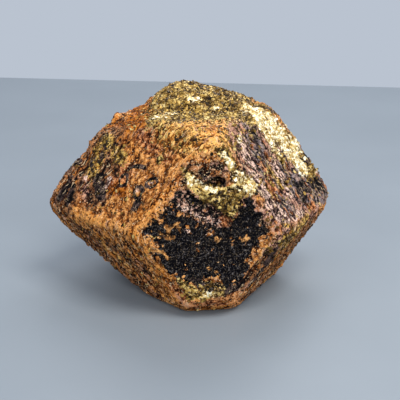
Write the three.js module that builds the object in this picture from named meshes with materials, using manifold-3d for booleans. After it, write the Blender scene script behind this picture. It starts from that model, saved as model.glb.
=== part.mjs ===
// Garnet crystal: one rough, rust- and mica-coated dodecahedral crystal, lying on a rhombic face.
//
// The crystal is described by its faces, as a mineralogist would: each face has Miller indices and
// a distance from the crystal's centre. Its three axes are called front (f), left (l) and back (b).
//   front  leans up and towards the viewer
//   left   is level and points to the viewer's left
//   back   leans up and away from the viewer
// Frame: millimetres, +Z up, the viewer looks along +Y, origin under the middle of the resting face.

import * as THREE from 'three';
import { ConvexGeometry } from 'three/addons/geometries/ConvexGeometry.js';
import { mergeVertices } from 'three/addons/utils/BufferGeometryUtils.js';
import Module from 'manifold-3d';

const wasm = await Module();
wasm.setup();

// ---------------------------------------------------------------- driving dimensions (mm)

const EDGE_ROUNDING = 2.2;       // radius of the worn edges and corners
const ROUNDING_DETAIL = 4;       // subdivisions of the rounding ball
const BEVEL_DISTANCE = 20.5;     // the narrow trapezohedron faces along the edges
const CORNER_DISTANCE = 20.75;   // wear on the corners where three faces meet
const TIP_DISTANCE = 23.75;      // wear on the tips where four faces meet

// The twelve rhombic faces: Miller indices [f, l, b] and distance from the centre.
const RHOMBIC_FACES = [
  { name: 'top', index: [1, 0, 1], distance: 16.0 },
  { name: 'resting', index: [-1, 0, -1], distance: 15.25 },
  { name: 'front', index: [1, 0, -1], distance: 18.75 },
  { name: 'rear', index: [-1, 0, 1], distance: 17.5 },
  { name: 'upper left', index: [1, 1, 0], distance: 17.5 },
  { name: 'upper right', index: [1, -1, 0], distance: 17.25 },
  { name: 'lower left', index: [0, 1, -1], distance: 18.0 },
  { name: 'lower right', index: [0, -1, -1], distance: 18.5 },
  { name: 'rear upper left', index: [0, 1, 1], distance: 19.0 },
  { name: 'rear upper right', index: [0, -1, 1], distance: 18.5 },
  { name: 'rear lower left', index: [-1, 1, 0], distance: 19.5 },
  { name: 'rear lower right', index: [-1, -1, 0], distance: 18.5 },
];

// Bevels, corners and tips that grew or wore differently from the rest.
const ODD_FACES = [
  { name: 'bevel above the left tip', index: [1, 2, 1], distance: 20.75 },
  { name: 'bevel behind the left tip', index: [-1, 2, 1], distance: 21.5 },
  { name: 'bevel below the left tip', index: [-1, 2, -1], distance: 21.25 },
  { name: 'bevel behind the right tip', index: [-1, -2, 1], distance: 20.75 },
  { name: 'worn upper left corner', index: [1, 1, 1], distance: 18.75 },
  { name: 'chip beside the top', index: [3, 2, 3], distance: 17.25 },
  { name: 'worn upper right corner', index: [1, -1, 1], distance: 20.25 },
  { name: 'front left corner', index: [1, 1, -1], distance: 21.0 },
  { name: 'front right corner', index: [1, -1, -1], distance: 21.0 },
  { name: 'broken lower left corner', index: [-1, 1, -1], distance: 17.25 },
  { name: 'whole lower right corner', index: [-1, -1, -1], distance: 23.5 },
  { name: 'left tip', index: [0, 1, 0], distance: 26.5 },
  { name: 'right tip', index: [0, -1, 0], distance: 24.5 },
  { name: 'rear top tip', index: [0, 0, 1], distance: 25.75 },
  { name: 'blunt lower tip', index: [0, 0, -1], distance: 21.5 },
];

// The mound of mica left on the top face is the hull of these balls, each stretched to its radii
// and placed from the crystal's centre.
const MICA_MOUND = [
  { centre: [-1.0, 3.5, 14.5], radii: [6.0, 8.0, 5.1] },
  { centre: [4.5, 3.0, 14.5], radii: [7.0, 7.5, 3.4] },
  { centre: [-4.0, 2.5, 14.5], radii: [4.5, 7.0, 2.9] },
  { centre: [0.5, 9.0, 14.5], radii: [6.0, 6.0, 3.0] },
];

// The flake of mica left standing on the front face: its outline as seen from the front, and how
// far it stands out of the face there. It is thickest along its broken lower left edge.
const FLAKE_OUTLINE = [
  { x: -4.0, z: 9.0, stand: 0.25 },
  { x: -3.8, z: 6.8, stand: 0.8 },
  { x: 3.8, z: 2.0, stand: 0.65 },
  { x: 4.6, z: 5.5, stand: 0.4 },
  { x: 4.8, z: 9.2, stand: 0.0 },
];
const FLAKE_ROOT = 1.5;          // how far it reaches into the face

// The pit behind the flake.
const PIT = { centre: [0.5, -18.6, 8.1], radii: [1.9, 1.3, 0.8] };

// The patch on the front face where the crust has come off, seen from the front as [x, z].
const BARE_OUTLINE = [
  [-7.5, 5.0], [-3.8, 6.6], [3.6, 1.8], [6.0, 4.2], [8.8, 1.2], [10.4, -1.5], [7.0, -5.8],
  [3.2, -9.4], [-0.5, -10.0], [-4.0, -8.6], [-8.0, -4.4], [-10.2, -0.6], [-8.6, 2.6],
];
const BARE_DEPTH = 0.35;         // the thickness of the crust round it
const CUT_CLEARANCE = 2.0;       // how far the cutting prism starts outside the face

// The widest growth grooves. Each lies in a plane parallel to the front face: y is that plane,
// and from and to are its ends along x.
const GROOVES = [
  { face: [1, -1, 0], y: -13.5, from: 6.0, to: 13.0 },
  { face: [1, -1, 0], y: -10.0, from: 5.0, to: 16.0 },
  { face: [1, -1, 0], y: -7.0, from: 7.0, to: 17.0 },
  { face: [1, -1, 0], y: -1.0, from: 11.0, to: 20.0 },
  { face: [1, 1, 0], y: -9.5, from: -18.0, to: -9.0 },
  { face: [1, 1, 0], y: -5.5, from: -19.0, to: -10.5 },
  { face: [1, 1, 0], y: -1.5, from: -21.0, to: -13.0 },
  { face: [0, 1, -1], y: -12.0, from: -12.0, to: -5.5 },
  { face: [0, 1, -1], y: -7.5, from: -16.0, to: -8.0 },
  { face: [0, -1, -1], y: -12.5, from: 5.5, to: 13.0 },
  { face: [0, -1, -1], y: -8.0, from: 8.5, to: 16.0 },
];
const GROOVE_HALF_WIDTH = 0.45;
const GROOVE_DEPTH = 0.45;

const BALL_SEGMENTS = 28;        // facets round a stretched ball

// ---------------------------------------------------------------- crystal axes

const SLOPE = Math.SQRT1_2;
const AXIS_FRONT = new THREE.Vector3(0, -SLOPE, SLOPE);
const AXIS_LEFT = new THREE.Vector3(-1, 0, 0);
const AXIS_BACK = new THREE.Vector3(0, SLOPE, SLOPE);

/** Unit normal of the face with Miller indices [f, l, b]. */
function faceNormal([f, l, b]) {
  return new THREE.Vector3()
    .addScaledVector(AXIS_FRONT, f)
    .addScaledVector(AXIS_LEFT, l)
    .addScaledVector(AXIS_BACK, b)
    .normalize();
}

/** Every arrangement of three index sizes with every choice of signs: one crystal form. */
function crystalForm(sizes) {
  const seen = new Map();
  for (const order of [[0, 1, 2], [0, 2, 1], [1, 0, 2], [1, 2, 0], [2, 0, 1], [2, 1, 0]]) {
    for (let signs = 0; signs < 8; signs += 1) {
      const index = order.map((place, i) => (signs & (1 << i) ? -sizes[place] : sizes[place]) + 0);
      seen.set(index.join(), index);
    }
  }
  return [...seen.values()];
}

/** All the planes that bound the crystal: rhombic faces, bevels, corners and tips. */
function crystalPlanes() {
  const distances = new Map();
  const forms = [
    [[2, 1, 1], BEVEL_DISTANCE],
    [[1, 1, 1], CORNER_DISTANCE],
    [[1, 0, 0], TIP_DISTANCE],
  ];
  for (const [sizes, distance] of forms) {
    for (const index of crystalForm(sizes)) {
      distances.set(index.join(), { index, distance });
    }
  }
  for (const face of [...RHOMBIC_FACES, ...ODD_FACES]) {
    distances.set(face.index.join(), face);
  }
  return [...distances.values()].map(({ index, distance }) => ({
    normal: faceNormal(index),
    distance,
  }));
}

/** Corner points of the convex body inside all the planes, each moved inwards by inset. */
function cornerPoints(planes, inset) {
  const inside = (point) => planes.every((p) => p.normal.dot(point) < p.distance - inset + 1e-6);
  const points = [];
  for (let i = 0; i < planes.length; i += 1) {
    for (let j = i + 1; j < planes.length; j += 1) {
      const along = planes[i].normal.clone().cross(planes[j].normal);
      for (let k = j + 1; k < planes.length; k += 1) {
        const volume = along.dot(planes[k].normal);
        if (Math.abs(volume) < 1e-6) {
          continue;
        }
        const point = along.clone().multiplyScalar(planes[k].distance - inset)
          .addScaledVector(planes[j].normal.clone().cross(planes[k].normal), planes[i].distance - inset)
          .addScaledVector(planes[k].normal.clone().cross(planes[i].normal), planes[j].distance - inset)
          .divideScalar(volume);
        if (inside(point)) {
          points.push(point);
        }
      }
    }
  }
  return points;
}

/** The crystal with its edges and corners rounded: the hull of small balls set in its corners. */
function roundedCrystal() {
  const ball = new THREE.IcosahedronGeometry(EDGE_ROUNDING, ROUNDING_DETAIL);
  const ballPoints = ball.getAttribute('position');
  const cloud = [];
  for (const corner of cornerPoints(crystalPlanes(), EDGE_ROUNDING)) {
    for (let i = 0; i < ballPoints.count; i += 1) {
      cloud.push(new THREE.Vector3().fromBufferAttribute(ballPoints, i).add(corner));
    }
  }
  return new ConvexGeometry(cloud);
}

// ---------------------------------------------------------------- joining and cutting

/** A closed solid for joining and cutting, from any closed geometry. */
function toSolid(geometry) {
  const bare = geometry.index ? geometry.toNonIndexed() : geometry.clone();
  bare.deleteAttribute('normal');
  bare.deleteAttribute('uv');
  const merged = mergeVertices(bare, 1e-4);
  return new wasm.Manifold(new wasm.Mesh({
    numProp: 3,
    vertProperties: new Float32Array(merged.getAttribute('position').array),
    triVerts: new Uint32Array(merged.index.array),
  }));
}

/** The geometry of a solid, flat-shaded. */
function toGeometry(solid) {
  const mesh = solid.getMesh();
  const geometry = new THREE.BufferGeometry();
  geometry.setAttribute('position', new THREE.BufferAttribute(mesh.vertProperties, 3));
  geometry.setIndex(new THREE.BufferAttribute(mesh.triVerts, 1));
  const flat = geometry.toNonIndexed();
  flat.computeVertexNormals();
  return flat;
}

/** A ball stretched to three radii, about a centre. */
function stretchedBall({ centre, radii }) {
  const geometry = new THREE.SphereGeometry(1, BALL_SEGMENTS, BALL_SEGMENTS / 2);
  geometry.scale(...radii);
  geometry.translate(...centre);
  return geometry;
}

/** The hull of several stretched balls. */
function hullOfBalls(balls) {
  const points = [];
  for (const ball of balls) {
    const positions = stretchedBall(ball).getAttribute('position');
    for (let i = 0; i < positions.count; i += 1) {
      points.push(new THREE.Vector3().fromBufferAttribute(positions, i));
    }
  }
  return new ConvexGeometry(points);
}

/** The distance from the centre of one of the rhombic faces. */
function faceDistance(index) {
  return RHOMBIC_FACES.find((face) => face.index.join() === index.join()).distance;
}

const FRONT_FACE_Y = -faceDistance([1, 0, -1]);

/** A prism through an [x, z] outline, reaching from y = near to y = far. */
function prismAlongY(outline, near, far) {
  const shape = new THREE.Shape(outline.map(([x, z]) => new THREE.Vector2(x, z)));
  const geometry = new THREE.ExtrudeGeometry(shape, { depth: far - near, bevelEnabled: false });
  geometry.rotateX(Math.PI / 2);
  geometry.translate(0, far, 0);
  return toSolid(geometry);
}

/** The flake on the front face. */
function flake() {
  const points = [];
  for (const { x, z, stand } of FLAKE_OUTLINE) {
    points.push(new THREE.Vector3(x, FRONT_FACE_Y - stand, z));
    points.push(new THREE.Vector3(x, FRONT_FACE_Y + FLAKE_ROOT, z));
  }
  return toSolid(new ConvexGeometry(points));
}

/** The prism that takes the crust off the bare patch. */
function barePatchCut() {
  return prismAlongY(BARE_OUTLINE, FRONT_FACE_Y - CUT_CLEARANCE, FRONT_FACE_Y + BARE_DEPTH);
}

/** A V-shaped cutter that lies along a face. */
function groove({ face, y, from, to }) {
  const normal = faceNormal(face);
  const zAt = (x) => (faceDistance(face) - normal.x * x - normal.y * y) / normal.z;
  const ends = [from, to].map((x) => new THREE.Vector3(x, y, zAt(x)));
  const run = ends[1].clone().sub(ends[0]).normalize();
  // The cutter is as tall above the face as below it, so it is twice as wide at its top.
  const across = normal.clone().cross(run).multiplyScalar(2 * GROOVE_HALF_WIDTH);
  const points = [];
  for (const end of ends) {
    const above = end.clone().addScaledVector(normal, GROOVE_DEPTH);
    points.push(above.clone().add(across));
    points.push(above.clone().sub(across));
    points.push(end.clone().addScaledVector(normal, -GROOVE_DEPTH));
  }
  return toSolid(new ConvexGeometry(points));
}

// ---------------------------------------------------------------- the crystal

let crystalSolid = toSolid(roundedCrystal())
  .add(toSolid(hullOfBalls(MICA_MOUND)))
  .subtract(barePatchCut())
  .add(flake())
  .subtract(toSolid(stretchedBall(PIT)));
for (const line of GROOVES) {
  crystalSolid = crystalSolid.subtract(groove(line));
}

// Stand it on its resting face, with the origin under the middle of its box.
const crystalGeometry = toGeometry(crystalSolid);
crystalGeometry.computeBoundingBox();
const lowest = crystalGeometry.boundingBox.min;
const highest = crystalGeometry.boundingBox.max;
crystalGeometry.translate(-(lowest.x + highest.x) / 2, -(lowest.y + highest.y) / 2, -lowest.z);

const crustedGarnet = new THREE.MeshStandardMaterial({
  color: 0x8a5a2e,
  roughness: 0.7,
  metalness: 0.0,
});

const crystal = new THREE.Mesh(crystalGeometry, crustedGarnet);
crystal.name = 'garnet_crystal';

const garnet = new THREE.Group();
garnet.add(crystal);

export default garnet;
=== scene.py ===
import logging
import math
from dataclasses import dataclass, field
from enum import Enum
from typing import Any, Iterable, Sequence, Union

import bpy
import numpy as np
from mathutils import Matrix, Vector


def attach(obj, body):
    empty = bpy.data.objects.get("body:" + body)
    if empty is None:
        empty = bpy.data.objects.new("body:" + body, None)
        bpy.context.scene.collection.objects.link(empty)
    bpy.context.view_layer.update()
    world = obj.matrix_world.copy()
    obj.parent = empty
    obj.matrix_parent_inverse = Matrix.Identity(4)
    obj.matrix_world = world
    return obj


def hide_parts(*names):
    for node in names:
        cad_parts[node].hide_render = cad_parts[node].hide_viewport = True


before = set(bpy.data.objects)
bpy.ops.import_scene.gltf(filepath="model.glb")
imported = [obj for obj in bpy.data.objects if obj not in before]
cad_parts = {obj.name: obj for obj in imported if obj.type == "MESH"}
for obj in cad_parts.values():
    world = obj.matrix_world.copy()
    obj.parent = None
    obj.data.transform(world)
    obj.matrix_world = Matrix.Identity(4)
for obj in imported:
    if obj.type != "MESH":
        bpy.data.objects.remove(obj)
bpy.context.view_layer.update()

log = logging.getLogger("garnet")

MM = 0.001
# Keeps a division from one by nothing.
TINY = 1e-9
# The middle of what runs from 0 to 1: noise, tint, and relief that is level with the skin.
LEVEL = 0.5
BODY = "root"
NODE = "garnet_crystal"

Triple = tuple[float, float, float]
Range = tuple[float, float]
Shade = tuple[int, int, int]
Colour = tuple[float, float, float, float]
Stops = list[tuple[float, Colour]]


# ---------------------------------------------------------------- colours


def srgb(red: int, green: int, blue: int) -> Colour:
    """A colour as a shader takes it, from its everyday 0 to 255 values.

    Args:
        red: Red, 0 to 255.
        green: Green, 0 to 255.
        blue: Blue, 0 to 255.

    Returns:
        The linear red, green, blue and a full alpha.
    """

    def linear(part: int) -> float:
        """One channel, made linear."""
        share = part / 255
        return share / 12.92 if share <= 0.04045 else ((share + 0.055) / 1.055) ** 2.4

    return (linear(red), linear(green), linear(blue), 1.0)


@dataclass(frozen=True)
class Tones:
    """The dark gaps, the body and the light grains of one part of the surface.

    Attributes:
        gap: Colour in the gaps between grains.
        body: Colour of most of the surface.
        grain: Colour of the lightest grains.
    """

    gap: Shade
    body: Shade
    grain: Shade

    def stops(self) -> Stops:
        """The three tones as the stops of a colour ramp."""
        return [(0.1, srgb(*self.gap)), (0.5, srgb(*self.body)), (0.92, srgb(*self.grain))]


RUST = Tones((44, 20, 8), (142, 78, 27), (222, 154, 82))
TAN = Tones((70, 35, 14), (156, 93, 40), (220, 158, 92))
ORANGE = Tones((48, 20, 4), (118, 58, 10), (190, 114, 38))
RED = Tones((42, 18, 8), (124, 62, 30), (214, 146, 96))
PLUM = Tones((17, 9, 12), (70, 43, 39), (194, 148, 126))
HONEY = Tones((66, 34, 10), (160, 96, 34), (240, 188, 108))
CLINGING = Tones((52, 30, 12), (140, 90, 44), (216, 160, 98))
DARK = Tones((9, 5, 7), (56, 32, 22), (160, 108, 68))
SLATE = Tones((5, 4, 7), (31, 26, 32), (142, 126, 124))
PINK = Tones((18, 10, 13), (76, 49, 46), (234, 200, 182))
OLIVE = Tones((16, 10, 3), (102, 72, 24), (216, 174, 92))
MICA = Tones((20, 13, 4), (104, 78, 28), (216, 186, 112))
# Pale mica, brightened towards white where it stands in for glare and glints: partly its own colour,
# partly painted highlight.
PALE_AND_GLINTS = Tones((104, 78, 42), (210, 186, 132), (255, 248, 216))
BARE = Tones((3, 3, 8), (10, 10, 17), (106, 100, 98))
INK = Tones((2, 2, 5), (10, 9, 12), (78, 62, 58))
DARK_SPECK = srgb(14, 8, 6)
# Colour of the painted glints: small light specks that stand in for highlights.
PAINTED_GLINT = srgb(250, 218, 174)
SCALE_STOPS: Stops = [
    (0.12, srgb(26, 16, 4)),
    (0.38, srgb(96, 68, 22)),
    (0.6, srgb(174, 138, 64)),
    (0.84, srgb(228, 204, 140)),
    (1.0, srgb(254, 247, 222)),
]


# ---------------------------------------------------------------- where each finish lies


@dataclass(frozen=True)
class Bar:
    """A bar with round ends through which the surface passes: where it does, it takes a finish.

    Attributes:
        start: One end of the bar's centre line, in mm.
        end: The other end, in mm.
        reach: Radius of the bar, in mm.
    """

    start: Triple
    end: Triple
    reach: float

    def depth(self, points: np.ndarray) -> np.ndarray:
        """How deep each point lies in the bar.

        Args:
            points: Points in mm, one a row.

        Returns:
            1 on the centre line, 0 on the bar's skin and less outside it.
        """
        start, end = np.array(self.start), np.array(self.end)
        run = end - start
        along = np.clip((points - start) @ run / max(run @ run, TINY), 0, 1)
        nearest = start + along[:, None] * run
        return 1 - np.linalg.norm(points - nearest, axis=1) / self.reach


@dataclass(frozen=True)
class Ring:
    """A ball's shell through which the surface passes: it draws a ring.

    Attributes:
        centre: The ring's middle, in mm.
        radius: Its radius, in mm.
        reach: Half the width of its line, in mm.
    """

    centre: Triple
    radius: float
    reach: float

    def depth(self, points: np.ndarray) -> np.ndarray:
        """How deep each point lies in the ring's line: 1 in its middle, 0 at its edge."""
        away = np.linalg.norm(points - np.array(self.centre), axis=1)
        return 1 - np.abs(away - self.radius) / self.reach


@dataclass(frozen=True)
class Sheet:
    """An outline drawn on the front face.

    Attributes:
        corners: Its corners as (x, z) in mm, in order.
        y: Where it lies, in mm.
        fade: How far inside the outline the finish is at its full strength, in mm.
        thickness: How far it reaches to the front and back of y, in mm.
    """

    corners: tuple[tuple[float, float], ...]
    y: float = -17.6
    fade: float = 1.6
    thickness: float = 1.5

    def depth(self, points: np.ndarray) -> np.ndarray:
        """How deep each point lies inside the outline.

        Args:
            points: Points in mm, one a row.

        Returns:
            1 well inside, 0 on the outline and less outside it.
        """
        flat = points[:, (0, 2)]
        nearest = np.full(len(flat), np.inf)
        inside = np.zeros(len(flat), bool)
        for first, second in zip(self.corners, self.corners[1:] + self.corners[:1]):
            start, run = np.array(first), np.array(second) - np.array(first)
            along = np.clip((flat - start) @ run / (run @ run), 0, 1)
            away = np.linalg.norm(flat - start - along[:, None] * run, axis=1)
            nearest = np.minimum(nearest, away)
            between = (flat[:, 1] < first[1]) != (flat[:, 1] < second[1])
            rise = run[1] if run[1] else TINY
            inside ^= between & (flat[:, 0] < start[0] + (flat[:, 1] - start[1]) * run[0] / rise)
        signed = np.where(inside, nearest, -nearest) / self.fade
        return np.minimum(signed, (self.thickness - np.abs(points[:, 1] - self.y)) / self.fade)


Patch = Union[Bar, Ring, Sheet]

# Where the front face lies in y, in mm.
FRONT = -17.4


def bar(x: float, y: float, z: float, to_x: float, to_y: float, to_z: float, reach: float) -> Bar:
    """A bar from one point to another, in mm."""
    return Bar((x, y, z), (to_x, to_y, to_z), reach)


def line(x: float, z: float, to_x: float, to_z: float, reach: float) -> Bar:
    """A bar along the front face, in mm."""
    return Bar((x, FRONT, z), (to_x, FRONT, to_z), reach)


def spot(x: float, y: float, z: float, reach: float) -> Bar:
    """A ball about one point, in mm."""
    return Bar((x, y, z), (x, y, z), reach)


def fleck(x: float, z: float, reach: float) -> Bar:
    """A ball on the front face, in mm."""
    return spot(x, FRONT, z, reach)


class Zone(Enum):
    """The finishes that lie on parts of the surface, by the name of their attribute.

    CALM holds no finish: growth streaks fade out in it.
    """

    TAN = "tan"
    ORANGE = "orange"
    RED = "red"
    HONEY = "honey"
    DARK = "dark"
    PINK = "pink"
    OLIVE = "olive"
    PLUM = "plum"
    SLATE = "slate"
    MICA = "mica"
    PALE_AND_GLINTS = "pale"
    BARE = "bare"
    INK = "ink"
    SCAB = "scab"
    WEB = "web"
    CALM = "calm"


# The window of bare garnet on the front face.
BARE_FACE = Sheet((
    (-6.6, 20.0), (-5.8, 21.8), (-3.6, 22.1), (-1.5, 20.9), (1.0, 19.0), (3.2, 17.2),
    (4.3, 18.3), (5.0, 20.3), (6.6, 20.8), (7.5, 18.9), (9.2, 16.4), (9.6, 14.5),
    (8.5, 12.0), (6.8, 10.4), (6.6, 8.4), (5.2, 5.6), (3.4, 4.8), (2.2, 5.6),
    (1.8, 7.4), (0.1, 7.2), (-1.8, 6.2), (-3.6, 5.9), (-5.6, 7.0), (-8.0, 9.5), (-9.6, 11.6),
    (-8.5, 13.3), (-10.6, 14.9), (-10.2, 16.6), (-8.2, 17.9), (-7.9, 19.2),
))

# The mica that hangs over its upper edge.
MICA_LIP = Sheet((
    (-4.4, 25.6), (-3.5, 22.6), (-1.5, 21.1), (0.9, 19.4), (3.3, 17.3), (4.2, 18.7),
    (4.6, 20.4), (6.8, 21.8), (6.6, 24.0), (5.5, 25.1), (4.3, 23.8), (2.6, 22.7),
    (-0.6, 22.6), (-2.4, 24.6),
), y=-18.0, fade=0.9)

# The pit above the mica, whose edge is torn.
HOLLOW = line(-1.2, 24.4, 2.6, 23.4, 2.6)

# Worn dents at the upper left, and small knobs at the right tip and on the upper left edge.
DENTS: tuple[Bar, ...] = (
    bar(-8.4, 5.0, 30.4, -7.0, 15.0, 31.0, 3.6),
    bar(-19.6, 0.0, 22.2, -18.0, 6.0, 24.0, 3.4),
)
KNOBS: tuple[Bar, ...] = (
    bar(21.0, 0.6, 20.0, 21.9, -0.2, 18.8, 1.1),
    bar(-12.9, 5.0, 28.2, -12.1, 9.0, 28.8, 1.2),
)

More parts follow.
